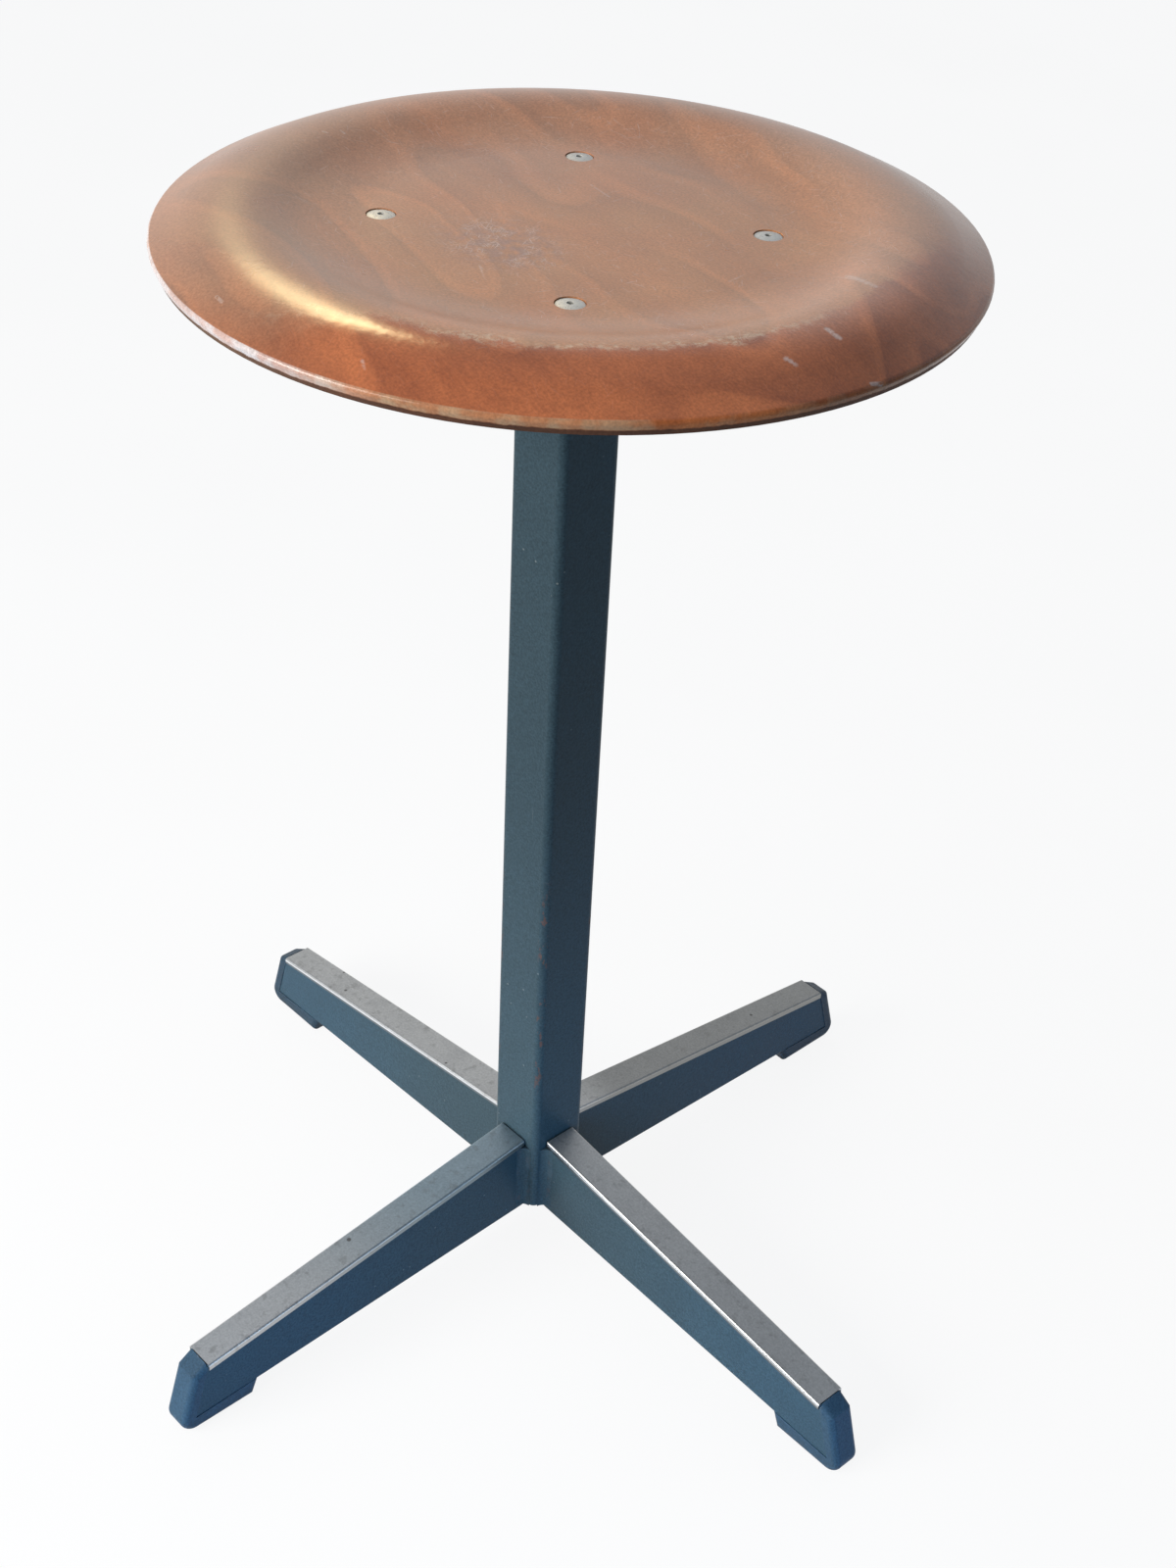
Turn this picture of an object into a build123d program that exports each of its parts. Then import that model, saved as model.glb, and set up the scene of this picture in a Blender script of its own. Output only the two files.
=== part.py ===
"""Round moulded-plywood stool on a square steel column with a four-leg cross base.

Millimetres. The origin is on the floor under the column, +Z is up, and the legs lie along X and Y.
"""
import os
from math import atan, cos, degrees, radians, sin, tan

from build123d import *

# Seat shell, one moulded disc of constant thickness
seat_diameter = 350.0
seat_height = 592.5  # floor to the top of the crest ring
seat_thickness = 6.5
dish_depth = 8.0  # crest ring down to the flat middle
rim_width = 37.0  # crest ring out to the edge, seen from above
dish_wall_width = 52.0  # crest ring in to the flat middle, seen from above
crest_rounding = 55.0  # section radius over the crest ring
rim_slope = 25.0  # fall of the rim outside the crest, in degrees
lip_rounding = 2.0  # upper lip of the sawn edge
under_lip_rounding = 3.2

# Blind rivets through the seat and its plate, heads sunk in shallow recesses
rivet_pitch = 114.0
rivet_head_diameter = 12.0
rivet_head_height = 1.6
rivet_head_rim = 1.0  # straight wall under the domed top of the head
rivet_shank_diameter = 6.0
rivet_bore_diameter = 3.0
rivet_bulb_diameter = 9.0  # set end under the plate
rivet_bulb_height = 5.0
rivet_hole_clearance = 0.2
recess_diameter = 12.8
recess_depth = 1.5

# Broken-off mandrels left inside the rivets
mandrel_clearance = 0.1
mandrel_break_depth = 2.5  # break below the top of the head
mandrel_head_diameter = 5.0
mandrel_head_height = 2.2

# Steel plate under the seat
plate_side = 138.0
plate_thickness = 4.0
plate_corner = 14.0
plate_turn = 1.75  # plate and rivets against the legs, in degrees
plate_weld_leg = 4.0

# Square column tube
column_width = 35.0
column_wall = 2.0
column_corner = 4.0
column_lift = 5.0  # lower end of the tube above the legs' lower edges

# Tapered box-section legs, sized at the column face and at the end of their top edge
leg_reach = 228.5  # column axis to the end of the top edge
leg_width_root = 17.6
leg_width_tip = 15.8
leg_top_root = 70.3
leg_top_tip = 42.2
leg_bottom_root = 18.5
leg_bottom_tip = 9.0
leg_wall = 1.5
leg_corner = 1.2
leg_weld_leg = 5.5
leg_weld_lift = 4.0  # lower end of the bead above the leg's lower edge
leg_weld_inset = 0.2  # bead ends short of the strip

# Bright metal strips clipped over the legs' top edges
strip_thickness = 0.8
strip_flange = 3.7  # height of the side flanges
strip_fit = 0.1
strip_root_gap = 1.1
strip_corner = 0.4  # inside radius of the bend

# Moulded foot caps, an end wall and a pad with a plug inside the leg
cap_wall = 7.2
cap_lean = 17.0  # end face from the vertical, in degrees
cap_chamfer = 4.2  # drop of the sloping top behind the end face
cap_strip_gap = 0.5  # end of the strip to the cap's crown
cap_proud = 0.2  # stands out from the leg's sides
cap_lip = 0.65  # pad's upper edge above the leg's lower edge
cap_rounding = 3.6
pad_length = 46.2
heel_lean = 22.0
toe_rounding = 8.0
heel_rounding = 5.0
shoulder_rounding = 14.0
plug_depth = 24.0
plug_fit = 0.2

# Heights and half sizes that follow from the values above
column_face = column_width / 2
crest_r = seat_diameter / 2 - rim_width
dish_floor_r = crest_r - dish_wall_width
dish_floor = seat_height - dish_depth
plate_top = dish_floor - seat_thickness
column_top = plate_top - plate_thickness
column_bottom = leg_bottom_root + column_lift
rivet_head_seat = dish_floor - recess_depth
rivet_hole_radius = rivet_shank_diameter / 2 + rivet_hole_clearance
leg_end_run = tan(radians(cap_lean))
leg_end_at_floor = leg_reach + leg_top_tip * leg_end_run
toe_reach = leg_end_at_floor + cap_wall / cos(radians(cap_lean))
heel_reach = toe_reach - pad_length

touching = 0.01  # distance below which an edge lies on a seam
leg_turns = {"front_right": 0, "back_right": 90, "back_left": 180, "front_left": 270}


def rivet_places(height):
    """The four rivet axes at a height above the floor."""
    return Location((0, 0, height), (0, 0, plate_turn)) * GridLocations(rivet_pitch, rivet_pitch, 2, 2)


def seat_shell():
    """Turned section: flat middle, dish wall, crest, sloping rim and a rounded edge."""
    wall = 2 * atan(dish_depth / dish_wall_width)
    fall = radians(rim_slope)
    dish_r = dish_wall_width / sin(wall) - crest_rounding
    dish_centre = (dish_floor_r, dish_floor + dish_r)
    crest_centre = (crest_r, seat_height - crest_rounding)

    # The rounded lip reaches the seat's radius, so the sharp corner lies a little outside it
    corner_r = seat_diameter / 2 + lip_rounding * (cos(fall) + sin(fall) - 1)
    slope_run = corner_r - (crest_r + crest_rounding * sin(fall))
    slope_top = crest_centre[1] + crest_rounding * cos(fall)
    corner = (corner_r, slope_top - slope_run * tan(fall))
    lower_corner = (corner[0] - seat_thickness * sin(fall), corner[1] - seat_thickness * cos(fall))

    wall_deg = degrees(wall)
    crest_sweep = wall_deg + rim_slope
    crest_under = crest_rounding - seat_thickness
    dish_under = dish_r + seat_thickness
    with BuildSketch(Plane.XZ) as section:
        with BuildLine():
            Line((0, dish_floor), (dish_floor_r, dish_floor))
            CenterArc(dish_centre, dish_r, -90, wall_deg)
            crest = CenterArc(crest_centre, crest_rounding, 90 + wall_deg, -crest_sweep)
            Line(crest @ 1, corner)
            Line(corner, lower_corner)
            under = CenterArc(crest_centre, crest_under, 90 - rim_slope, crest_sweep)
            Line(lower_corner, under @ 0)
            CenterArc(dish_centre, dish_under, -90 + wall_deg, -wall_deg)
            Line((dish_floor_r, plate_top), (0, plate_top))
            Line((0, plate_top), (0, dish_floor))
        make_face()
        under_lip, lip = section.vertices().sort_by(Axis.X)[-2:]
        fillet(lip, lip_rounding)
        fillet(under_lip, under_lip_rounding)
    shell = revolve(section.sketch, Axis.Z)
    up = (Align.CENTER, Align.CENTER, Align.MIN)
    shell -= rivet_places(plate_top) * Cylinder(rivet_hole_radius, seat_thickness, align=up)
    above_head = seat_height - rivet_head_seat
    shell -= rivet_places(rivet_head_seat) * Cylinder(recess_diameter / 2, above_head, align=up)
    return shell


def seat_plate():
    """Flat square plate with rounded corners and four rivet holes."""
    outline = RectangleRounded(plate_side, plate_side, plate_corner)
    outline -= GridLocations(rivet_pitch, rivet_pitch, 2, 2) * Circle(rivet_hole_radius)
    return Location((0, 0, column_top), (0, 0, plate_turn)) * extrude(outline, plate_thickness)


def turned_on_rivet_axes(*edges):
    """Revolve a closed outline, drawn in the XZ plane, on each rivet axis."""
    piece = revolve(make_face(edges), Axis.Z)
    return Compound(children=[place * piece for place in rivet_places(0)])


def upright(*points):
    """Broken line through (radius, height) points in the XZ plane."""
    return Polyline(*[(r, 0, z) for r, z in points])


def seat_rivets():
    """Domed head, hollow shank and the set bulb that grips the plate from below."""
    bore = rivet_bore_diameter / 2
    shank = rivet_shank_diameter / 2
    bulb = rivet_bulb_diameter / 2
    head = rivet_head_diameter / 2
    head_top = rivet_head_seat + rivet_head_height
    bulb_end = column_top - rivet_bulb_height
    rim_top = rivet_head_seat + rivet_head_rim
    dome = TangentArc((bore, 0, head_top), (head, 0, rim_top), tangent=(1, 0, 0))
    rest = upright(
        (head, rim_top),
        (head, rivet_head_seat),
        (shank, rivet_head_seat),
        (shank, column_top),
        (bulb, column_top),
        (bulb, column_top - rivet_bulb_height / 2),
        (shank, bulb_end),
        (bore, bulb_end),
        (bore, head_top),
    )
    return turned_on_rivet_axes(dome, rest)


def rivet_mandrels():
    """Stem inside the rivet with the head that pulled the bulb up."""
    stem = rivet_bore_diameter / 2 - mandrel_clearance
    head = mandrel_head_diameter / 2
    bulb_end = column_top - rivet_bulb_height
    stem_top = rivet_head_seat + rivet_head_height - mandrel_break_depth
    outline = upright(
        (0, stem_top),
        (stem, stem_top),
        (stem, bulb_end),
        (head, bulb_end),
        (head / 2, bulb_end - mandrel_head_height),
        (0, bulb_end - mandrel_head_height),
        (0, stem_top),
    )
    return turned_on_rivet_axes(outline)


def column_tube():
    """Square tube with rounded corners, open at its lower end."""
    outer = RectangleRounded(column_width, column_width, column_corner)
    bore_width = column_width - 2 * column_wall
    outer -= RectangleRounded(bore_width, bore_width, column_corner - column_wall)
    return Pos(0, 0, column_bottom) * extrude(outer, column_top - column_bottom)


def plate_weld():
    """Fillet bead all round the top of the column, under the plate."""
    wide = column_width + 2 * plate_weld_leg
    outline = RectangleRounded(column_width, column_width, column_corner)
    foot = Pos(0, 0, column_top - plate_weld_leg) * outline
    head = Pos(0, 0, column_top) * RectangleRounded(wide, wide, column_corner + plate_weld_leg)
    return loft([foot, head], ruled=True) - extrude(foot, plate_weld_leg)


def along_leg(reach, at_root, at_tip):
    """Straight taper from the column face to the end of the leg's top edge."""
    share = (reach - column_face) / (leg_reach - column_face)
    return at_root + (at_tip - at_root) * share


def side_slab(*points):
    """Slab across the leg, outlined by (reach, height) points seen from the side."""
    outline = make_face(Polyline(*[(u, 0, z) for u, z in points], close=True))
    return extrude(outline, column_width, dir=(0, 1, 0), both=True)


def leg_bar(start, end, grow, corner=0.0):
    """Tapered bar of the leg's outline between two distances, grown or shrunk on all sides."""
    sides = []
    profile = []
    for reach, order in ((start, 1), (end, -1)):
        half = along_leg(reach, leg_width_root, leg_width_tip) / 2 + grow
        top = along_leg(reach, leg_top_root, leg_top_tip) + grow
        bottom = along_leg(reach, leg_bottom_root, leg_bottom_tip) - grow
        sides += [(reach, -half * order), (reach, half * order)]
        profile += [(reach, bottom), (reach, top)][::order]
    from_above = extrude(make_face(Polyline(*sides, close=True)), seat_height)
    bar = from_above & side_slab(*profile)
    if corner > 0:
        long_edges = bar.edges().sort_by(SortBy.LENGTH)[-4:]
        bar = fillet(long_edges, corner)
    return bar


def underside_point(floor_reach, lean, lift):
    """Where a line from the floor, leaning towards the column, comes to a lift above the leg's lower edge."""
    run = tan(radians(lean))
    slope = (leg_bottom_tip - leg_bottom_root) / (leg_reach - column_face)
    height = (leg_bottom_tip + lift + slope * (floor_reach - leg_reach)) / (1 + slope * run)
    return floor_reach - height * run, height


def leg_block():
    """Solid outline of the leg from the column face to its leaning end."""
    above = leg_top_root + leg_corner
    kept = side_slab(
        (0, 0),
        (leg_end_at_floor, 0),
        (leg_end_at_floor - above * leg_end_run, above),
        (0, above),
    )
    return leg_bar(column_face, toe_reach, 0, leg_corner) & kept


def leg():
    """Hollow tapered leg, open at both ends."""
    return leg_block() - leg_bar(column_face, toe_reach, -leg_wall)


def leg_strip():
    """Channel over the leg's top edge, its flanges bent down over both sides."""
    start = column_face + strip_root_gap
    outer = leg_bar(start, leg_reach, strip_fit + strip_thickness, strip_corner + strip_thickness)
    inner = leg_bar(start, leg_reach, strip_fit, strip_corner)
    drop = strip_flange - strip_fit - strip_thickness
    start_top = along_leg(start, leg_top_root, leg_top_tip)
    above = start_top + strip_flange
    kept = side_slab(
        (start, start_top - drop),
        (leg_reach, leg_top_tip - drop),
        (leg_reach, above),
        (start, above),
    )
    return (outer - inner) & kept


def leg_weld():
    """Two upright fillet beads in the corners between the leg's sides and the column."""
    side = leg_width_root / 2
    low = leg_bottom_root + leg_weld_lift
    high = leg_top_root - strip_flange - leg_weld_inset
    corner = Vector(column_face, side)
    on_leg = corner + Vector(leg_weld_leg, 0)
    on_column = corner + Vector(0, leg_weld_leg)
    hollow = corner + Vector(leg_weld_leg, leg_weld_leg) * (1 / 3)
    edges = [Line(corner, on_leg), ThreePointArc(on_leg, hollow, on_column), Line(on_column, corner)]
    bead = Pos(0, 0, low) * extrude(make_face(edges), high - low)
    return Compound(children=[bead, mirror(bead, Plane.XZ)])


def foot_cap():
    """End wall with a sloping top, a pad under the leg and a plug in the leg's open end."""
    crown = (leg_reach + cap_strip_gap, leg_top_tip + strip_fit + strip_thickness)
    ledge = (crown[0], leg_top_tip - cap_strip_gap / leg_end_run)
    end_foot = underside_point(leg_end_at_floor, cap_lean, cap_lip)
    heel_top = underside_point(heel_reach, heel_lean, cap_lip)
    shoulder_height = leg_top_tip - cap_chamfer
    shoulder = (toe_reach - shoulder_height * leg_end_run, shoulder_height)
    half = along_leg(heel_reach, leg_width_root, leg_width_tip) / 2 + cap_proud
    with BuildSketch(Plane.XZ) as outline:
        with BuildLine():
            Polyline((heel_reach, 0), (toe_reach, 0), shoulder, crown, ledge, end_foot, heel_top, close=True)
        make_face()
        corners = outline.vertices()
        fillet(corners.sort_by_distance((toe_reach, 0, 0))[0], toe_rounding)
        fillet(corners.sort_by_distance((heel_reach, 0, 0))[0], heel_rounding)
        fillet(corners.sort_by_distance((shoulder[0], 0, shoulder[1]))[0], shoulder_rounding)
    block = extrude(outline.sketch, half, both=True)

    # The outer edges of both sides are rounded, those against the strip and the leg stay sharp
    seams = upright(crown, ledge, end_foot, heel_top)
    outer_edges = []
    for edge in block.faces().filter_by(Axis.Y).edges():
        middle = edge.center()
        if seams.distance_to((middle.X, 0, middle.Z)) > touching:
            outer_edges.append(edge)
    block = fillet(outer_edges, cap_rounding) - leg_block()

    shrink = leg_wall + plug_fit
    plug = leg_bar(leg_reach - plug_depth, toe_reach, -shrink)
    reach_in = leg_end_at_floor + cap_wall / 2
    plug &= side_slab(
        (leg_reach - plug_depth, 0),
        (reach_in, 0),
        (reach_in - leg_top_root * leg_end_run, leg_top_root),
        (leg_reach - plug_depth, leg_top_root),
    )
    return block + plug


pieces = {
    "seat_shell": seat_shell(),
    "seat_rivets": seat_rivets(),
    "rivet_mandrels": rivet_mandrels(),
    "seat_plate": seat_plate(),
    "plate_weld": plate_weld(),
    "column_tube": column_tube(),
}
leg_pieces = {"leg": leg(), "leg_weld": leg_weld(), "leg_strip": leg_strip(), "foot_cap": foot_cap()}
for place, turn in leg_turns.items():
    for name, piece in leg_pieces.items():
        pieces[f"{name}_{place}"] = Rot(0, 0, turn) * piece

os.makedirs("parts", exist_ok=True)
for name, piece in pieces.items():
    export_step(piece, f"parts/{name}.step")
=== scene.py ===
"""Looks of the round plywood stool: finishes, light, floor and camera around its fixed CAD frame.

Metres. The origin is on the floor under the column, +Z is up, and the legs lie along X and Y.
"""
from math import cos, radians, sin
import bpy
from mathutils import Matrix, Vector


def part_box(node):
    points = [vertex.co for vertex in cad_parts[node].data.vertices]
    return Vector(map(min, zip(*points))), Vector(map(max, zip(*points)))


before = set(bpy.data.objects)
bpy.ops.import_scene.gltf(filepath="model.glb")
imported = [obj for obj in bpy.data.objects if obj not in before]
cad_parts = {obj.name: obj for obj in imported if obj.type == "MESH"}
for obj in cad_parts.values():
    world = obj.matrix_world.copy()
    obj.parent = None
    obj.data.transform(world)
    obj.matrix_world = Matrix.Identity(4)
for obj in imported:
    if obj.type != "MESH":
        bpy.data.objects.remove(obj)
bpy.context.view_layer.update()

from types import SimpleNamespace

import bpy
from mathutils import Matrix, Vector

# Sizes read from the frame
seat_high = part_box("seat_shell")[1]
seat_radius = seat_high.x
column_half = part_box("column_tube")[1].x
strip_low, strip_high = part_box("leg_strip_front_right")
leg_places = ("front_right", "back_right", "back_left", "front_left")

# Seat outline, as in the solid: the rim outside the crest, and how far below the crest the sawn edge starts
rim_width = 0.037
crest_radius = seat_radius - rim_width
sawn_drop = (0.0148, 0.0157)

# Cover strips: height of their flanges, fall of their top edge along the leg, and how far below that edge
# the painted shadow line of a flange starts
strip_flange = 0.0037
strip_fall = (strip_high.z - strip_low.z - strip_flange) / (strip_high.x - strip_low.x)
shadow_hem_drop = (0.0020, 0.0026)

# Level directions on the seat as the photograph sees it: to the front and slightly right, to the left, and
# to the middle of the rubbed crest
front_way = (0.88, -0.48)
left_way = (-0.71, -0.70)
rubbed_way = (0.80, -0.60)

# Zones of the seat by the distance from its middle: where each starts to show, and where it shows in full
slope_zone = (crest_radius, crest_radius + 0.010)
low_slope_zone = (crest_radius + 0.008, crest_radius + 0.024)
above_slope_zone = (crest_radius + 0.022, crest_radius)
sitting_zone = (crest_radius + 0.012, crest_radius - 0.006)
rim_zone = (crest_radius - 0.038, crest_radius - 0.008)
lip_zone = (seat_radius - 0.0040, seat_radius - 0.0026)

# Zones of the seat by the distance towards the front, the last one towards the middle of the rubbed crest
front_zone = (0.08, 0.13)
back_zone = (0.10, -0.06)
far_zone = (0.02, -0.10)
rubbed_zone = (0.085, 0.135)

# Zones of the seat by the distance towards the left, which place its painted sheen, highlights and shade
left_zone = (0.05, 0.13)
right_zone = (0.14, -0.12)
lip_highlight_zone = (0.05, 0.12)
left_end_shade_zone = (0.05, 0.15)
low_right_shade_zone = (-0.09, -0.13)
crest_right_sheen_zone = (-0.05, -0.11)

# Worn dull lacquer with painted sheen: how ragged and soft its edge is, and how far it passes the crest at
# the back and at the left
haze_ragged = 0.022
haze_soft = 0.0028
haze_past_back = 0.050
haze_past_left = 0.026

# Unevenness of the line between the lip and the sawn edge
sawn_uneven = 0.0016

# Turn of the seat's figure in degrees, its scuffed patch, and its single marks: two ends as (x, y, depth
# below the crest), half width and strength
grain_turn = -13.0
patch_centre = (-0.002, -0.038, seat_high.z - 0.008)
patch_radii = (0.042, 0.032, 0.02)
seat_marks = (
    ((0.084, 0.045, 0.007), (0.130, 0.040, 0.000), 0.0009, 0.55),
    ((0.112, 0.044, 0.002), (0.130, 0.040, 0.000), 0.0022, 0.75),
    ((0.146, -0.004, 0.001), (0.152, -0.004, 0.002), 0.0020, 0.95),
    ((0.152, -0.032, 0.003), (0.156, -0.031, 0.003), 0.0020, 0.85),
    ((-0.022, -0.163, 0.007), (-0.017, -0.164, 0.007), 0.0012, 0.60),
    ((0.056, -0.154, 0.006), (0.060, -0.156, 0.007), 0.0011, 0.60),
    ((-0.129, -0.033, 0.000), (-0.127, -0.032, 0.000), 0.0010, 0.90),
    ((-0.127, -0.025, 0.000), (-0.124, -0.025, 0.001), 0.0010, 0.90),
    ((-0.089, 0.081, 0.001), (-0.077, 0.073, 0.003), 0.0009, 0.50),
    ((0.010, -0.060, 0.008), (0.045, -0.082, 0.006), 0.0008, 0.50),
    ((-0.030, 0.036, 0.008), (-0.015, 0.033, 0.008), 0.0008, 0.45),
    ((0.080, 0.011, 0.008), (0.078, 0.026, 0.007), 0.0009, 0.40),
    ((0.1738, -0.0080, 0.0110), (0.1746, -0.0035, 0.0122), 0.0013, 1.00),
)

# Seat colours
stain_dark = (0.225, 0.052, 0.017)
stain_light = (0.650, 0.192, 0.060)
# Colours of the worn lacquer, which also carry painted sheen: golden at the left, grey at the right, pale at
# the back
haze_and_sheen_left = (0.610, 0.415, 0.250)
haze_and_sheen_right = (0.720, 0.430, 0.220)
haze_and_sheen_far = (0.640, 0.470, 0.350)
scuff_violet = (0.290, 0.185, 0.175)
scratch_pale = (0.720, 0.590, 0.540)
bare_wood = (0.700, 0.510, 0.340)
lip_tan = (0.520, 0.330, 0.190)
# Painted highlight on the lip at the left, and painted shade on the sawn edge below the lip
lip_highlight_white = (0.640, 0.560, 0.540)
sawn_edge_shade = (0.048, 0.030, 0.022)
# Painted shade at the left end and low on the right side, and painted sheen on the crest at the right
left_end_shade_brown = (0.220, 0.145, 0.095)
low_right_shade_brown = (0.080, 0.035, 0.025)
crest_right_sheen_pale = (0.850, 0.680, 0.560)
under_brown = (0.150, 0.058, 0.030)

# Paint: zones by the reach along a leg, by the height, and by the gap to a column corner, then the place of
# that corner and the width of worn edges
leg_end_zone = (0.05, 0.22)
low_zone = (0.32, 0.12)
knocked_top = (0.27, 0.22)
knocked_bottom = (0.10, 0.13)
knocked_gap = (0.0036, 0.0012)
corner_axis = column_half - 0.0012
paint_edge = 0.003

# Paint colours, and tints of painted light: bluish towards the leg ends and lighter on the lower half
paint_dark = (0.025, 0.045, 0.057)
paint_light = (0.044, 0.074, 0.091)
leg_end_blue_light = (0.95, 1.15, 1.32)
lower_half_light = (1.16, 1.14, 1.13)
rust = (0.160, 0.075, 0.055)
paint_rubbed = (0.130, 0.165, 0.185)
paint_dust = (0.260, 0.280, 0.270)
paint_scratch = (0.160, 0.190, 0.200)

# Zones of the strips' painted light, sheen and shade along Y, or along X for the front right one
root_sheen_zone = (-0.20, -0.06)
root_sheen_end = (0.0, -0.01)
back_right_zone = (0.02, 0.06)
front_left_zone = (-0.08, -0.22)
front_right_zone = (0.05, 0.20)

# Strip colours
steel_dark = (0.39, 0.39, 0.385)
steel_light = (0.62, 0.62, 0.605)
steel_stain = (0.34, 0.34, 0.34)
steel_grime = (0.21, 0.205, 0.195)
steel_pit = (0.10, 0.09, 0.085)
# Painted reflections on the flanges, a painted shadow line along them, and a painted bluish sheen at a root
flange_reflection_tones = {"x": (0.86, 0.89, 0.92), "y": (0.20, 0.21, 0.22)}
shadow_hem_tone = (0.060, 0.080, 0.095)
front_left_root_sheen = (0.72, 0.88, 0.98)
# Painted light and shade on the strips of single legs
front_left_tip_light = (0.72, 0.73, 0.74)
front_right_tip_shade = (0.24, 0.24, 0.24)
back_right_shade = (0.22, 0.22, 0.21)

# Foot caps: the far legs along X and Y, which get painted shade, the dirty height above the floor, and the
# width of worn edges
far_cap_x = (-0.10, -0.20)
far_cap_y = (0.10, 0.20)
sole_zone = (0.010, 0.0)
plastic_edge = 0.0025

# Foot cap colours
plastic_dark = (0.023, 0.052, 0.086)
plastic_light = (0.046, 0.095, 0.145)
# Painted shade for the caps of the far legs
plastic_far_shade = (0.015, 0.025, 0.034)
plastic_scuff = (0.150, 0.180, 0.205)
plastic_dirt = (0.080, 0.075, 0.068)
plastic_scratch = (0.140, 0.165, 0.185)

# Rivet and mandrel colours
zinc_dark = (0.50, 0.49, 0.46)
zinc_light = (0.74, 0.73, 0.69)
zinc_grime = (0.16, 0.14, 0.12)
mandrel_dark = (0.020, 0.017, 0.015)
mandrel_light = (0.085, 0.060, 0.045)

# Fine grain of the seat, paint, strips and caps, in grains per metre
grain_scale = 900.0

# Camera that fits the photograph, in degrees, metres and pixels of its 1200 by 1600 frame
image_width = 1200
image_height = 1600
view_turn = 44.54
view_height = 38.26
view_roll = 4.04
view_distance = 1.12767
view_side_shift = 0.04139
view_target_height = 0.22883
focal_pixels = 2227.11
centre_pixel = (640, 920)
sensor = 36.0
near_clip = 0.05

# Floor: half its size, its gap under the soles, its white, the share of it that doesn't depend on the light,
# and the colour of the light that it throws back
floor_half = 80.0
floor_gap = 0.0004
floor_whites = ((0.98, 0.98, 0.98), (1.0, 1.0, 1.0))
floor_glow = 0.90
floor_bounce = (0.36, 0.54, 0.70)

# Room: its brightest side in degrees about Z, its level at several heights of the view direction, and
# the share and tint of that level on its dim side
bright_side = 148.0
room_levels = ((0.0, 0.92), (0.40, 0.88), (0.62, 0.62), (0.72, 0.56), (0.86, 0.78), (1.0, 0.84))
dim_share = 0.07
dim_tint = (0.55, 0.85, 1.25)

# White of the room at the horizon, for what the eye sees, and the heights between which it fades in
horizon_white = (0.92, 0.92, 0.92)
horizon_fade = (0.34, 0.16)


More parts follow.
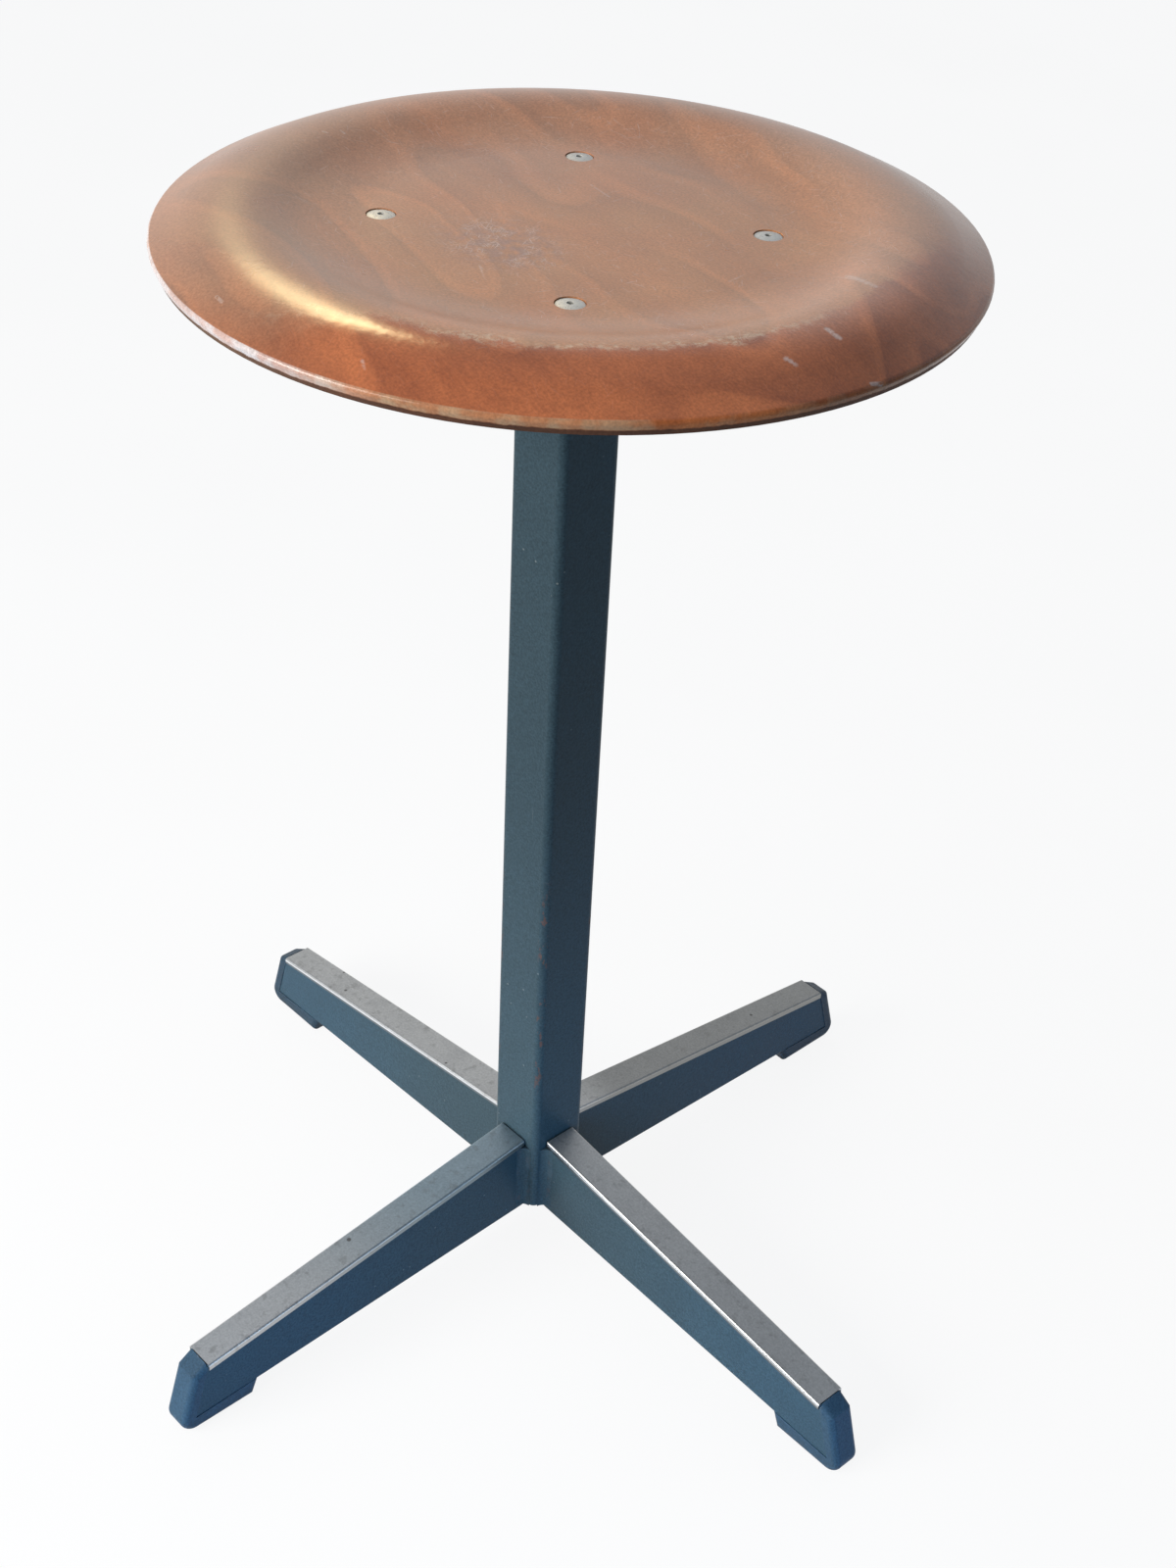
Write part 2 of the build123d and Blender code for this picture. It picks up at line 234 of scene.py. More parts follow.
class Nodes:
    """Short calls that add nodes to one material or world and return their output sockets."""

    def __init__(self, owner):
        self.owner = owner
        owner.use_nodes = True
        self.tree = owner.node_tree
        self.tree.nodes.clear()
        self.place = self.add("TexCoord", out="Object")

    def feed(self, socket, value):
        if isinstance(value, bpy.types.NodeSocket):
            self.tree.links.new(value, socket)
        elif socket.type == "RGBA" and len(value) == 3:
            socket.default_value = (*value, 1.0)
        else:
            socket.default_value = value

    def add(self, kind, inputs=None, out=0, **settings):
        node = self.tree.nodes.new("ShaderNode" + kind)
        for key, value in settings.items():
            setattr(node, key, value)
        for key, value in (inputs or {}).items():
            self.feed(node.inputs[key], value)
        return node.outputs[out]

    def math(self, operation, *values, clamp=False):
        return self.add("Math", dict(enumerate(values)), operation=operation, use_clamp=clamp)

    def plus(self, *values):
        total = values[0]
        for value in values[1:]:
            total = self.math("ADD", total, value)
        return total

    def times(self, *values):
        product = values[0]
        for value in values[1:]:
            product = self.math("MULTIPLY", product, value)
        return product

    def invert(self, value):
        return self.math("SUBTRACT", 1.0, value)

    def clamped(self, value):
        return self.math("ADD", value, 0.0, clamp=True)

    def about_zero(self, noise, span):
        """Noise moved to swing about 0 within a span."""
        return self.times(self.math("SUBTRACT", noise, 0.5), span)

    def split(self, vector):
        node = self.tree.nodes.new("ShaderNodeSeparateXYZ")
        self.feed(node.inputs[0], vector)
        return node.outputs

    def towards(self, way):
        """How far the place lies along a level direction."""
        inputs = {0: self.place, 1: (*way, 0)}
        return self.add("VectorMath", inputs, out="Value", operation="DOT_PRODUCT")

    def facing_up(self):
        """The height of the surface's normal, from -1 to 1."""
        return self.split(self.add("NewGeometry", out="Normal"))[2]

    def stretched(self, vector, size, turn=0.0):
        """The place in a frame turned about Z, with each axis divided by a size."""
        inputs = {"Vector": vector, "Rotation": (0, 0, radians(turn)), "Scale": size}
        return self.add("Mapping", inputs, vector_type="TEXTURE")

    def noise(self, vector, scale, detail=2.0, roughness=0.5, out=0):
        inputs = {"Vector": vector, "Scale": scale, "Detail": detail, "Roughness": roughness}
        return self.add("TexNoise", inputs, out=out)

    def cells(self, vector, scale):
        return self.add("TexVoronoi", {"Vector": vector, "Scale": scale}, out="Distance")

    def warped(self, vector, scale, amount):
        """The place moved about by soft noise, by up to about half the amount."""
        drift = self.noise(vector, scale, out="Color")
        centred = self.add("VectorMath", {0: drift, 1: (0.5, 0.5, 0.5)}, operation="SUBTRACT")
        moved = self.add("VectorMath", {0: centred, "Scale": amount}, operation="SCALE")
        return self.add("VectorMath", {0: vector, 1: moved}, operation="ADD")

    def step(self, value, low, high):
        """Smooth step from 0 at low to 1 at high."""
        inputs = {0: value, 1: low, 2: high, 3: 0.0, 4: 1.0}
        return self.add("MapRange", inputs, interpolation_type="SMOOTHSTEP")

    def band(self, value, middle, half_width):
        """1 at the middle value, falling to 0 at half the width on both sides."""
        away = self.math("ABSOLUTE", self.math("SUBTRACT", value, middle))
        return self.step(away, half_width, 0.0)

    def spot(self, centre, radii):
        """1 at a place, falling to 0 at an ellipsoid's surface."""
        inputs = {0: self.place, 1: centre}
        offset = self.add("VectorMath", inputs, operation="SUBTRACT")
        shares = self.add("VectorMath", {0: offset, 1: radii}, operation="DIVIDE")
        return self.step(self.add("VectorMath", {0: shares}, out="Value", operation="LENGTH"), 1.0, 0.2)

    def line(self, start, end, half_width):
        """1 on a straight line between two places, falling to 0 at half the width beside it."""
        run = tuple(b - a for a, b in zip(start, end))
        away = self.add("VectorMath", {0: self.place, 1: start}, operation="SUBTRACT")
        along = self.add("VectorMath", {0: away, 1: run}, out="Value", operation="DOT_PRODUCT")
        share = self.math("DIVIDE", along, sum(part * part for part in run), clamp=True)
        foot = self.add("VectorMath", {0: run, "Scale": share}, operation="SCALE")
        gap = self.add("VectorMath", {0: away, 1: foot}, out="Value", operation="DISTANCE")
        return self.step(gap, half_width, half_width * 0.3)

    def mix(self, share, first, second, blend="MIX"):
        node = self.tree.nodes.new("ShaderNodeMix")
        node.data_type = "RGBA"
        node.blend_type = blend
        self.feed(node.inputs[0], share)
        self.feed(node.inputs[6], first)
        self.feed(node.inputs[7], second)
        return node.outputs[2]

    def speckled(self, colour, low, span, share=1.0):
        """The colour times fine grain, which goes from a low value up by a span."""
        grain = self.plus(low, self.times(self.noise(self.place, grain_scale), span))
        return self.mix(share, colour, grain, "MULTIPLY")

    def scratches(self, place, turns, length, width, share):
        """Thin broken lines in several directions: longer along each turn, rare where share is small."""
        lines = None
        for order, turn in enumerate(turns):
            moved = self.add("VectorMath", {0: place, 1: (0.7 * order, 1.3 * order, 0)}, operation="ADD")
            along = self.stretched(moved, (length, width, length), turn)
            streak = self.step(self.noise(along, 1.0, detail=1.0), 0.80 - share, 0.84 - share)
            lines = streak if lines is None else self.math("MAXIMUM", lines, streak)
        return lines

    def edge(self, radius):
        """High on the rounded or sharp edges of a solid."""
        soft = self.add("Bevel", {"Radius": radius}, samples=6)
        true = self.add("NewGeometry", out="Normal")
        cosine = self.add("VectorMath", {0: soft, 1: true}, out="Value", operation="DOT_PRODUCT")
        return self.invert(cosine)

    def finish(self, bump, bump_depth, bump_strength=0.5, **sockets):
        """Principled shader with a bump, wired to the material's output."""
        inputs = {key.replace("_", " "): value for key, value in sockets.items()}
        relief = {"Height": bump, "Distance": bump_depth, "Strength": bump_strength}
        inputs["Normal"] = self.add("Bump", relief)
        self.close(self.add("BsdfPrincipled", inputs))
        return self.owner

    def close(self, shader, kind="Material"):
        output = self.tree.nodes.new("ShaderNodeOutput" + kind)
        self.tree.links.new(shader, output.inputs["Surface"])

    def seen(self):
        """1 for what the eye sees, also in reflections and through glass, 0 for light falling on things."""
        path = self.tree.nodes.new("ShaderNodeLightPath").outputs
        reflected = self.math("MAXIMUM", path["Is Glossy Ray"], path["Is Transmission Ray"])
        return self.math("MAXIMUM", path["Is Camera Ray"], reflected)


def seat_measures(n):
    """Where a place lies on the seat, and how far its surface faces up."""
    x, y, z = n.split(n.place)
    to_left = n.towards(left_way)
    return SimpleNamespace(
        radius=n.math("SQRT", n.plus(n.times(x, x), n.times(y, y))),
        drop=n.math("SUBTRACT", seat_high.z, z),
        to_front=n.towards(front_way),
        to_left=to_left,
        rightness=n.step(to_left, *right_zone),
        facing_up=n.facing_up(),
    )


def seat_stain(n, at):
    """Veneer figure: nested flames with a pale line on one side, over short dark ray flecks."""
    drift = n.stretched(n.warped(n.place, 7.0, 0.05), (1, 1, 1), grain_turn)
    field = n.noise(n.stretched(drift, (3.0, 1, 1)), 11.0, detail=1.0)
    ring = n.math("FRACT", n.times(field, 8.0))
    ring_share = n.step(n.noise(n.place, 11.0), 0.28, 0.52)
    late = n.times(n.math("POWER", ring, 1.8), n.step(ring, 1.0, 0.93), ring_share)
    pale = n.times(n.band(ring, middle=0.12, half_width=0.14), ring_share)
    streak = n.noise(n.stretched(drift, (9.0, 1, 1)), 130.0, detail=3.0)
    fleck = n.noise(n.stretched(drift, (4.0, 1, 1)), 1300.0, detail=1.0)
    mottle = n.noise(n.place, 14.0, detail=3.0, roughness=0.55)
    slope = n.step(at.radius, *slope_zone)
    front = n.step(at.to_front, *front_zone)
    # Painted light: the stain is lighter on the front right part of the slope
    front_right = n.times(n.band(at.to_left, middle=-0.055, half_width=0.075), front, slope)
    tone = n.plus(
        0.54,
        n.times(front_right, 0.17),
        n.times(late, -0.30),
        n.times(pale, 0.15),
        n.about_zero(streak, 0.44),
        n.about_zero(fleck, 0.30),
        n.about_zero(mottle, 0.60),
    )
    return n.mix(n.clamped(tone), stain_dark, stain_light), fleck, mottle


def seat_haze_and_sheen(n, at, colour):
    """Sitting area: lacquer worn dull and greyer inside the crest, with a torn edge at the front, and
    painted sheen.
    """
    ragged = n.about_zero(n.noise(n.place, 90.0, detail=5.0, roughness=0.7), haze_ragged)
    beyond = n.plus(
        n.times(n.step(at.to_front, *back_zone), haze_past_back),
        n.times(n.step(at.to_left, *left_zone), haze_past_left),
    )
    past_crest = n.math("SUBTRACT", n.plus(at.radius, ragged), n.plus(beyond, crest_radius))
    softness = n.plus(haze_soft, beyond)
    inside = n.step(n.math("DIVIDE", past_crest, softness), 1.0, -1.0)
    # The worn share also lays on the painted sheen, which reaches past the crest at the back and at the left
    worn = n.times(inside, n.plus(0.44, n.times(n.noise(n.place, 24.0, detail=4.0), 0.7)))
    haze_and_sheen = n.mix(at.rightness, haze_and_sheen_left, haze_and_sheen_right)
    haze_and_sheen = n.mix(n.times(n.step(at.to_front, *far_zone), 0.6), haze_and_sheen, haze_and_sheen_far)
    return n.mix(n.times(worn, 0.46), colour, haze_and_sheen), worn, past_crest


def seat_scratches(n, at, colour):
    """Fine scratches, a scuffed violet-grey patch near the middle, and single marks that stand out."""
    patch = n.spot(patch_centre, patch_radii)
    smudge = n.times(patch, n.step(n.noise(n.place, 200.0, detail=4.0), 0.32, 0.66))
    colour = n.mix(n.times(smudge, 0.55), colour, scuff_violet)
    bent = n.warped(n.place, 26.0, 0.016)
    scraped = n.times(patch, n.step(n.noise(n.place, 110.0, detail=3.0), 0.44, 0.60))
    scrapes = n.scratches(bent, turns=(25, 75, 120, 160), length=0.008, width=0.0006, share=0.17)
    scuff = n.times(scraped, scrapes)
    fine = n.scratches(bent, turns=(12, 57, 98, 141, 171), length=0.011, width=0.0007, share=0.08)
    sitting = n.step(at.radius, *sitting_zone)
    marks = n.math("MAXIMUM", n.times(fine, n.plus(0.05, n.times(sitting, 0.42))), scuff)
    broken = n.step(n.noise(n.place, 600.0), 0.30, 0.50)
    for start, end, half_width, strength in seat_marks:
        ends = [(*place, seat_high.z - drop) for *place, drop in (start, end)]
        marks = n.math("MAXIMUM", marks, n.times(n.line(*ends, half_width), broken, strength))
    return n.mix(n.times(marks, 0.62), colour, scratch_pale), marks


def seat_crest(n, past_crest, colour):
    """Lacquer rubbed through in a broken pale line along the front of the crest."""
    rough_edge = n.noise(n.place, 360.0, detail=4.0, roughness=0.7)
    crest_line = n.band(past_crest, middle=0.0005, half_width=0.005)
    front = n.step(n.towards(rubbed_way), *rubbed_zone)
    wear = n.times(crest_line, front, n.step(rough_edge, 0.46, 0.60))
    return n.mix(n.times(wear, 0.65), colour, bare_wood), wear


def seat_lip(n, at, colour):
    """Lip of the rim: a tan line of rubbed stain, a painted highlight at the left, painted shade at the
    right and on the sawn edge.
    """
    outer = n.step(at.radius, *lip_zone)
    left_lip_highlight = n.step(at.to_left, *lip_highlight_zone)
    uneven = n.plus(at.drop, n.about_zero(n.noise(n.place, 220.0, detail=3.0), sawn_uneven))
    low = n.step(uneven, *sawn_drop)
    lip = n.times(outer, n.step(at.facing_up, 0.88, 0.76), n.invert(low))
    # Share of the tan line: random where rubbed, raised under the painted highlight at the left, and taken
    # away at the right, where painted shade leaves the lip dark
    rubbed = n.plus(
        0.45,
        n.times(n.step(n.noise(n.place, 90.0, detail=3.0), 0.40, 0.60), 0.55),
        n.times(left_lip_highlight, 0.25),
        n.times(n.step(at.rightness, 0.62, 0.90), -0.80),
    )
    lip_tone = n.mix(left_lip_highlight, lip_tan, lip_highlight_white)
    colour = n.mix(n.clamped(n.times(lip, rubbed, 0.8)), colour, lip_tone)
    # Painted shade: the sawn edge under the lip is darkened
    sawn = n.times(outer, low)
    colour = n.mix(n.times(sawn, 0.85), colour, sawn_edge_shade)
    rounded = n.times(outer, n.step(at.facing_up, 0.75, 0.30), n.step(left_lip_highlight, 0.6, 0.0))
    dull = n.math("MAXIMUM", sawn, rounded)
    return colour, lip, sawn, dull


def seat_painted_light(n, at, lip, colour):
    """Painted shade at the left end and low on the right side, and painted sheen on the crest at the right.
    """
    on_rim = n.step(at.radius, *rim_zone)
    # Painted shade on the rim at the left end
    left_end_shade = n.times(n.step(at.to_left, *left_end_shade_zone), on_rim, n.invert(lip))
    colour = n.mix(n.times(left_end_shade, 0.36), colour, left_end_shade_brown)
    # Painted shade low on the right slope
    low_right_shade = n.times(n.step(at.to_left, *low_right_shade_zone), n.step(at.radius, *low_slope_zone))
    colour = n.mix(n.times(low_right_shade, 0.26), colour, low_right_shade_brown)
    # Painted sheen on the crest at the right
    above_slope = n.step(at.radius, *above_slope_zone)
    crest_right_sheen = n.times(n.step(at.to_left, *crest_right_sheen_zone), on_rim, above_slope)
    return n.mix(n.times(crest_right_sheen, 0.13), colour, crest_right_sheen_pale)


def seat_plywood():
    """Stained beech under lacquer: flames along X, hazy and scratched where people sit, dull below, with
    painted sheen, highlights and shade.
    """
    n = Nodes(bpy.data.materials.new("seat_plywood"))
    at = seat_measures(n)
    colour, fleck, mottle = seat_stain(n, at)
    colour, worn, past_crest = seat_haze_and_sheen(n, at, colour)
    colour, marks = seat_scratches(n, at, colour)
    colour, crest_wear = seat_crest(n, past_crest, colour)
    colour, lip, sawn, dull = seat_lip(n, at, colour)
    colour = seat_painted_light(n, at, lip, colour)
    colour = n.speckled(colour, low=0.62, span=0.76)
    under = n.step(at.facing_up, -0.60, -0.85)
    colour = n.mix(n.times(under, 0.85), colour, under_brown)
    roughness = n.plus(
        0.17,
        n.times(worn, 0.16),
        n.times(marks, 0.12),
        n.about_zero(mottle, 0.10),
        n.times(under, 0.30),
        n.times(sawn, 0.45),
    )
    relief = n.plus(
        n.times(fleck, 0.03),
        n.times(n.noise(n.place, 240.0, detail=1.0), 0.30),
        n.times(crest_wear, -0.10),
    )
    return n.finish(
        bump=relief,
        bump_depth=0.0004,
        Base_Color=colour,
        Roughness=roughness,
        Specular_IOR_Level=n.plus(0.5, n.times(dull, -0.42)),
    )


def frame_paint():
    """Slate blue enamel: faint orange peel, dust, chips down to rust on worn corners, and painted light:
    bluish leg ends, a paler lower half.
    """
    n = Nodes(bpy.data.materials.new("frame_paint"))
    x, y, z = n.split(n.place)
    cloud = n.noise(n.place, 22.0, detail=4.0, roughness=0.6)
    colour = n.mix(n.plus(0.2, n.times(cloud, 0.6)), paint_dark, paint_light)
    colour = n.speckled(colour, low=0.45, span=1.1)
    reach = n.math("MAXIMUM", n.math("ABSOLUTE", x), n.math("ABSOLUTE", y))
    # Painted light: bluish towards the leg ends, and lighter on the lower half
    colour = n.mix(n.step(reach, *leg_end_zone), colour, leg_end_blue_light, "MULTIPLY")
    colour = n.mix(n.step(z, *low_zone), colour, lower_half_light, "MULTIPLY")

    # Corners lose their paint in chips, most of all on the lower half of the column
    corner = n.step(n.edge(paint_edge), 0.02, 0.16)
    to_corner = [n.math("SUBTRACT", n.math("ABSOLUTE", side), corner_axis) for side in (x, y)]
    gap = n.math("SQRT", n.plus(*[n.times(side, side) for side in to_corner]))
    low = n.times(n.step(z, *knocked_top), n.step(z, *knocked_bottom))
    knocked = n.times(n.step(gap, *knocked_gap), low)
    chip_field = n.noise(n.stretched(n.place, (1, 1, 2.5)), 330.0, detail=4.0, roughness=0.65)
    chip = n.times(n.math("MAXIMUM", n.times(corner, 0.3), knocked), n.step(chip_field, 0.56, 0.62))
    colour = n.mix(n.times(chip, 0.7), colour, rust)
    rub = n.times(corner, n.step(n.noise(n.place, 90.0, detail=5.0), 0.46, 0.70))
    colour = n.mix(n.times(rub, 0.26), colour, paint_rubbed)

    # Small pale specks and faint handling scratches
    dusty = n.step(n.noise(n.place, 28.0), 0.46, 0.60)
    speck = n.times(dusty, n.step(n.cells(n.place, 120.0), 0.080, 0.045))
    colour = n.mix(n.times(speck, 0.50), colour, paint_dust)
    bent = n.warped(n.place, 15.0, 0.02)
    lines = n.scratches(bent, turns=(20, 80, 130), length=0.024, width=0.0012, share=0.01)
    colour = n.mix(n.times(lines, 0.22), colour, paint_scratch)

    roughness = n.plus(0.36, n.times(cloud, 0.14), n.times(chip, 0.3), n.times(speck, 0.2))
    relief = n.plus(n.times(n.noise(n.place, 420.0, detail=1.0), 0.6), n.times(chip, -0.8))
    return n.finish(
        bump=relief,
        bump_depth=0.0003,
        Base_Color=colour,
        Roughness=roughness,
        Specular_IOR_Level=0.09,
    )


def strip_steel(name, along):
    """Stainless strip brushed along its leg, with small dark pits and dull stains, and painted reflections,
    sheen and shade.
    """
    n = Nodes(bpy.data.materials.new(name))
    x, y, z = n.split(n.place)
    stretch = (80, 1, 1) if along == "x" else (1, 80, 1)
    brush = n.noise(n.stretched(n.place, stretch), 2600.0, detail=3.0, roughness=0.7)
    wide_brush = n.noise(n.stretched(n.place, stretch), 700.0, detail=2.0)
    stain = n.noise(n.place, 48.0, detail=5.0, roughness=0.65)
    tone = n.plus(0.15, n.times(brush, 0.45), n.times(wide_brush, 0.35))
    colour = n.mix(n.clamped(tone), steel_dark, steel_light)
    colour = n.mix(n.times(n.step(stain, 0.45, 0.75), 0.30), colour, steel_stain)

    # Flanges with painted reflections, pale with a painted shadow line along X and dark along Y, and a
    # painted bluish sheen at the root of the front left leg
    flange = n.step(n.facing_up(), 0.25, 0.05)
    top = n.invert(flange)
    colour = n.mix(n.times(flange, 0.8), colour, flange_reflection_tones[along])
    if along == "x":
        fallen = n.times(n.math("SUBTRACT", n.math("ABSOLUTE", x), strip_low.x), strip_fall)
        below_top = n.math("SUBTRACT", n.math("SUBTRACT", strip_high.z, fallen), z)
        shadow_hem = n.times(flange, n.step(below_top, *shadow_hem_drop))
        colour = n.mix(n.times(shadow_hem, 0.85), colour, shadow_hem_tone)
    else:
        root_sheen = n.times(n.step(y, *root_sheen_zone), n.step(y, *root_sheen_end))
        colour = n.mix(root_sheen, colour, front_left_root_sheen, "MULTIPLY")

    # Painted light and shade that differ from leg to leg: darker on the back right strip, lighter towards
    # the front left tip and darker towards the front right tip
    colour = n.mix(n.times(n.step(y, *back_right_zone), 0.68), colour, back_right_shade)
    colour = n.mix(n.times(n.step(y, *front_left_zone), 0.40), colour, front_left_tip_light)
    colour = n.mix(n.times(n.step(x, *front_right_zone), 0.30), colour, front_right_tip_shade)

    # Grime, grain and pits
    grime = n.step(n.noise(n.place, 210.0, detail=4.0), 0.56, 0.70)
    colour = n.mix(n.times(grime, 0.32), colour, steel_grime)
    colour = n.speckled(colour, low=0.72, span=0.54, share=top)
    pit_size = n.noise(n.place, 70.0)
    pit = n.step(n.cells(n.place, 62.0), n.times(pit_size, 0.17), n.times(pit_size, 0.09))
    top_pit = n.times(pit, top)
    colour = n.mix(n.times(top_pit, 0.8), colour, steel_pit)

    roughness = n.plus(0.26, n.times(brush, 0.16), n.times(stain, 0.10), n.times(top_pit, 0.25))
    relief = n.plus(n.times(brush, 0.4), n.times(wide_brush, 0.3), n.times(top_pit, -0.9))
    return n.finish(
        bump=relief,
        bump_depth=0.00012,
        Base_Color=colour,
        Roughness=roughness,
        Metallic=1.0,
    )


def foot_plastic():
    """Blue-grey moulded plastic, finely textured, scuffed on its edges and soles, with painted shade on the
    far legs.
    """
    n = Nodes(bpy.data.materials.new("foot_plastic"))
    x, y, z = n.split(n.place)
    cloud = n.noise(n.place, 45.0, detail=4.0, roughness=0.6)
    stipple = n.noise(n.place, 1800.0, detail=2.0)
    colour = n.mix(n.plus(n.times(cloud, 0.7), n.times(stipple, 0.3)), plastic_dark, plastic_light)
    colour = n.speckled(colour, low=0.45, span=1.1)
    # Painted shade on the caps of the far legs
    far = n.math("MAXIMUM", n.step(x, *far_cap_x), n.step(y, *far_cap_y))
    colour = n.mix(n.times(far, 0.45), colour, plastic_far_shade)
    corner = n.step(n.edge(plastic_edge), 0.03, 0.20)
    scuff_field = n.noise(n.place, 320.0, detail=5.0, roughness=0.7)
    scuff = n.times(corner, n.step(scuff_field, 0.50, 0.66))
    colour = n.mix(n.times(scuff, 0.45), colour, plastic_scuff)
    dirt = n.times(n.step(z, *sole_zone), n.step(scuff_field, 0.40, 0.64))
    colour = n.mix(n.times(dirt, 0.5), colour, plastic_dirt)
    lines = n.scratches(n.place, turns=(15, 70, 120), length=0.012, width=0.0011, share=0.03)
    colour = n.mix(n.times(lines, 0.20), colour, plastic_scratch)
    roughness = n.plus(0.40, n.times(cloud, 0.12), n.times(scuff, 0.20), n.times(dirt, 0.20))
    relief = n.plus(n.times(stipple, 0.5), n.times(scuff, -0.5), n.times(lines, -0.3))
    return n.finish(
        bump=relief,
        bump_depth=0.0002,
        Base_Color=colour,
        Roughness=roughness,
        Specular_IOR_Level=0.12,
    )


def rivet_zinc():
    """Weathered zinc-coated rivet heads, with specks of grime."""
    n = Nodes(bpy.data.materials.new("rivet_zinc"))
    cloud = n.noise(n.place, 320.0, detail=5.0, roughness=0.65)
    speck = n.step(n.cells(n.place, 900.0), 0.30, 0.14)
    colour = n.mix(cloud, zinc_dark, zinc_light)
    colour = n.mix(n.times(speck, 0.45), colour, zinc_grime)
    return n.finish(
        bump=n.plus(cloud, n.times(speck, -0.5)),
        bump_depth=0.0002,
        Base_Color=colour,
        Roughness=n.plus(0.38, n.times(cloud, 0.20)),
        Metallic=0.35,
    )


def mandrel_steel():
    """Dark broken ends of the mandrels, rough and lightly rusted."""
    n = Nodes(bpy.data.materials.new("mandrel_steel"))
    cloud = n.noise(n.place, 1400.0, detail=4.0, roughness=0.7)
    return n.finish(
        bump=cloud,
        bump_depth=0.0002,
        bump_strength=1.0,
        Base_Color=n.mix(cloud, mandrel_dark, mandrel_light),
        Roughness=n.plus(0.5, n.times(cloud, 0.3)),
        Metallic=0.6,
    )


def dress(node, material):
    """Put one finish on all slots of a CAD node."""
    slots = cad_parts[node].material_slots
    for slot in slots:
        slot.material = material


def dress_frame():
    """Give every CAD node its finish."""
    paint = frame_paint()
    plastic = foot_plastic()
    strips = {"x": strip_steel("strip_steel_x", "x"), "y": strip_steel("strip_steel_y", "y")}
    dress("seat_shell", seat_plywood())
    dress("seat_rivets", rivet_zinc())
    dress("rivet_mandrels", mandrel_steel())
    for node in ("seat_plate", "plate_weld", "column_tube"):
        dress(node, paint)
    for place in leg_places:
        low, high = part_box("leg_" + place)
        along = "x" if high.x - low.x > high.y - low.y else "y"
        dress("leg_" + place, paint)
        dress("leg_weld_" + place, paint)
        dress("leg_strip_" + place, strips[along])
        dress("foot_cap_" + place, plastic)


def floor():
    """Plain white floor: most of what the eye sees is its own white, the rest is lit and takes shadow."""
    n = Nodes(bpy.data.materials.new("floor_white"))
    white = n.mix(n.noise(n.place, 3.0), *floor_whites)
    seen = n.seen()
    lit = n.add("BsdfDiffuse", {"Color": n.mix(seen, floor_bounce, white)})
    glow = n.add("Emission", {"Color": white, "Strength": 1.0})
    n.close(n.add("MixShader", {0: n.times(seen, floor_glow), 1: lit, 2: glow}))
    mesh = bpy.data.meshes.new("floor")
    corners = [(floor_half * x, floor_half * y, 0) for x, y in ((-1, -1), (1, -1), (1, 1), (-1, 1))]
    mesh.from_pydata(corners, [], [(0, 1, 2, 3)])
    mesh.materials.append(n.owner)
    plane = bpy.data.objects.new("floor", mesh)
    plane.location.z = -floor_gap
    bpy.context.scene.collection.objects.link(plane)


def level_ramp(n, height):
    """The room's level at a height of the view direction."""
    ramp = n.tree.nodes.new("ShaderNodeValToRGB")
    stops = ramp.color_ramp.elements
    for order, (stop_height, level) in enumerate(room_levels):
        stop = stops[order] if order < len(stops) else stops.new(stop_height)
        stop.position = stop_height
        stop.color = (level, level, level, 1)
    n.feed(ramp.inputs[0], height)
    return ramp.outputs[0]


def studio():
    """Room that is bright behind and a little left, dim and bluish in front, and pale at the horizon."""
    n = Nodes(bpy.data.worlds.new("studio"))
    direction = n.add("TexCoord", out="Generated")
    height = n.split(direction)[2]
    bright = (cos(radians(bright_side)), sin(radians(bright_side)), 0)
    side = n.add("VectorMath", {0: direction, 1: bright}, out="Value", operation="DOT_PRODUCT")
    share = n.add("MapRange", {0: side, 1: -1.0, 2: 1.0, 3: dim_share, 4: 1.0})
    tinted = n.mix(n.invert(share), level_ramp(n, height), dim_tint, "MULTIPLY")
    lighting = n.add("VectorMath", {0: tinted, "Scale": share}, operation="SCALE")
    pale = n.times(n.seen(), n.step(height, *horizon_fade))
    colour = n.mix(pale, lighting, horizon_white)
    n.close(n.add("Background", {"Color": colour, "Strength": 1.0}), "World")
    return n.owner


def soft_light(name, aim, turn, height, distance, size, strength, colour, spread=180.0):
    """Rectangular lamp that looks at a place from a turn about Z and a height angle, in degrees."""
    direction = Vector((
        cos(radians(turn)) * cos(radians(height)),
        sin(radians(turn)) * cos(radians(height)),
        sin(radians(height)),
    ))
    data = bpy.data.lights.new(name, "AREA")
    data.shape = "RECTANGLE"
    data.size, data.size_y = size
    data.energy = strength
    data.color = colour
    data.spread = radians(spread)
    lamp = bpy.data.objects.new(name, data)
    lamp.location = Vector(aim) + direction * distance
    lamp.rotation_euler = direction.to_track_quat("Z", "Y").to_euler()
    bpy.context.scene.collection.objects.link(lamp)


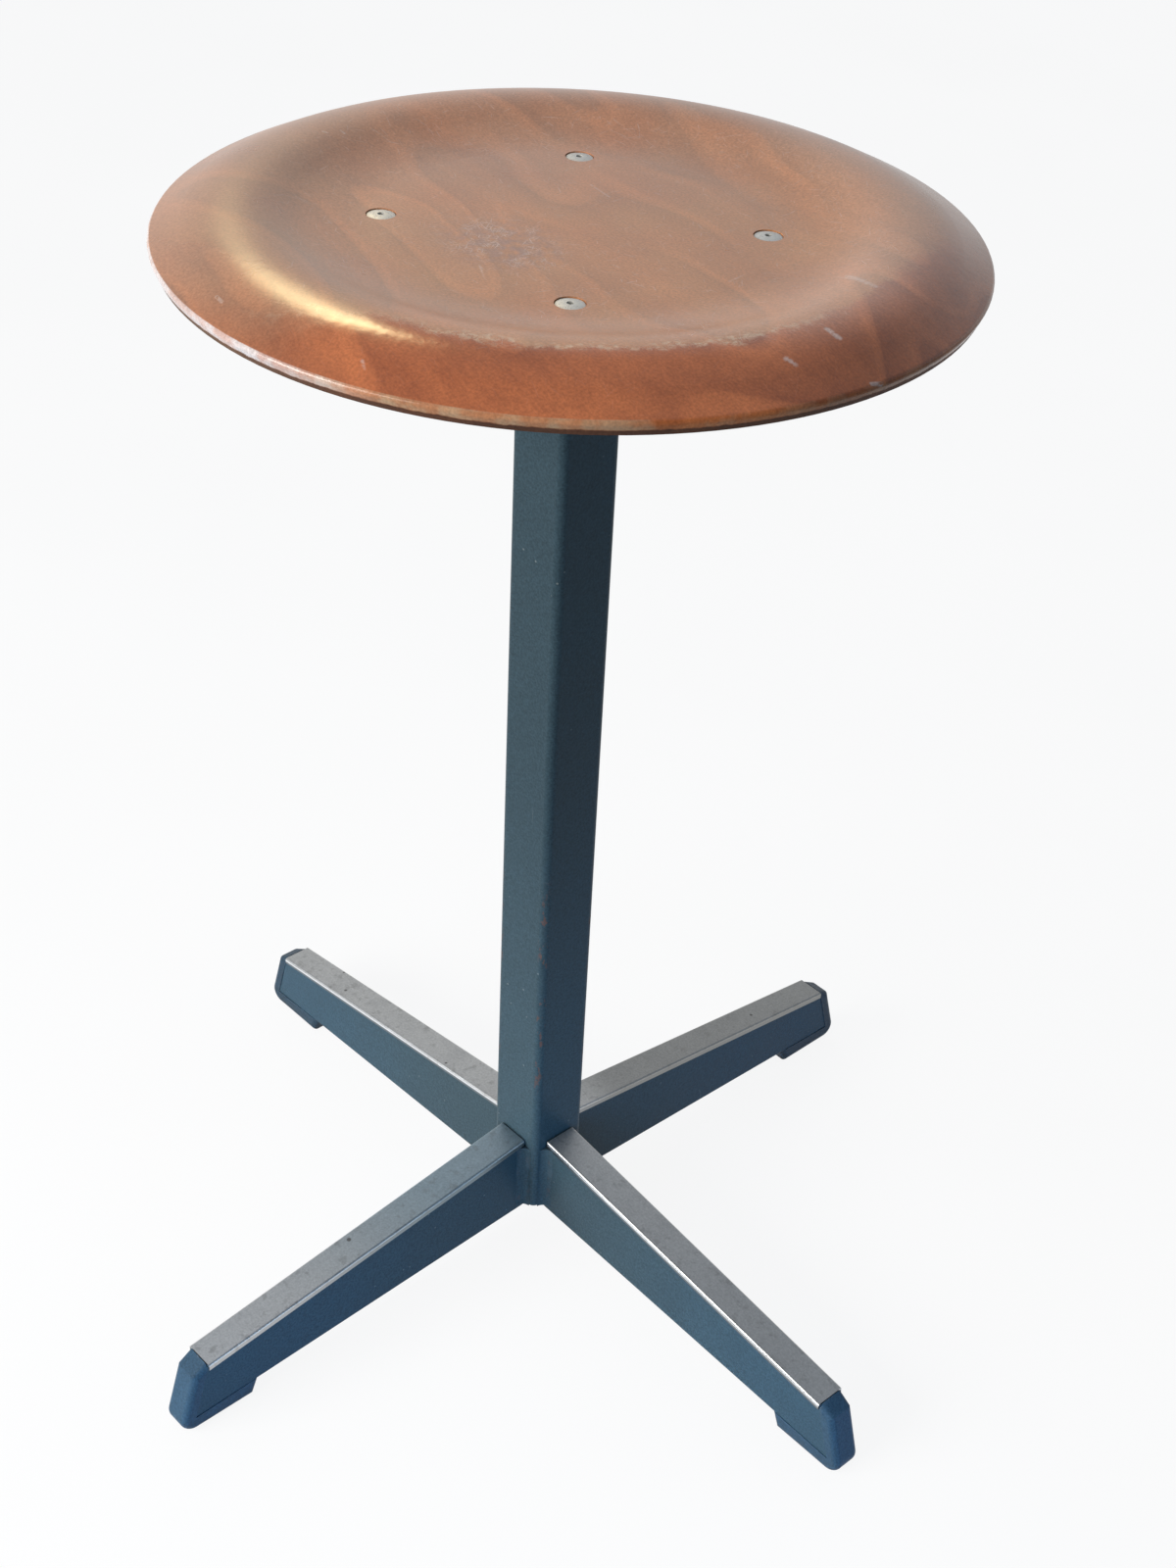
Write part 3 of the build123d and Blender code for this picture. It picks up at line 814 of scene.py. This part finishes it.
def lights():
    """Window from the left, a small warm lamp behind, two low lamps as light off the floor, and the room."""
    soft_light(
        "left_window",
        aim=(0, 0, 0.35),
        turn=258,
        height=22,
        distance=1.9,
        size=(1.4, 0.8),
        strength=38.0,
        colour=(1.0, 0.96, 0.90),
    )
    soft_light(
        "warm_lamp",
        aim=(0, -0.14, 0.59),
        turn=153,
        height=37,
        distance=1.0,
        size=(0.18, 0.24),
        strength=0.074,
        colour=(1.0, 0.79, 0.42),
        spread=30,
    )
    soft_light(
        "left_bounce",
        aim=(0, 0, 0.03),
        turn=262,
        height=6,
        distance=1.2,
        size=(0.8, 0.15),
        strength=0.45,
        colour=(0.80, 0.90, 1.0),
        spread=36,
    )
    soft_light(
        "right_bounce",
        aim=(0, -0.12, 0.03),
        turn=345,
        height=6,
        distance=1.0,
        size=(0.6, 0.15),
        strength=0.29,
        colour=(0.18, 0.54, 1.0),
        spread=36,
    )
    bpy.context.scene.world = studio()
    bpy.context.scene.view_settings.view_transform = "Standard"


def camera():
    """Camera that sees the stool as the photograph does."""
    turn, height, roll = radians(view_turn), radians(view_height), radians(view_roll)
    back = Vector((sin(turn) * cos(height), -cos(turn) * cos(height), sin(height)))
    right = (-back).cross(Vector((0, 0, 1))).normalized()
    up = right.cross(-back)
    right_rolled = cos(roll) * right + sin(roll) * up
    up_rolled = cos(roll) * up - sin(roll) * right
    target = Vector((0, 0, view_target_height))
    data = bpy.data.cameras.new("camera")
    data.sensor_width = sensor
    data.sensor_fit = "AUTO"
    data.lens = focal_pixels * sensor / image_height
    data.shift_x = (image_width / 2 - centre_pixel[0]) / image_height
    data.shift_y = (centre_pixel[1] - image_height / 2) / image_height
    data.clip_start = near_clip
    eye = bpy.data.objects.new("camera", data)
    place = target + back * view_distance + right * view_side_shift
    axes = Matrix((right_rolled, up_rolled, back)).transposed().to_4x4()
    eye.matrix_world = Matrix.Translation(place) @ axes
    bpy.context.scene.collection.objects.link(eye)
    bpy.context.scene.camera = eye


dress_frame()
floor()
lights()
camera()
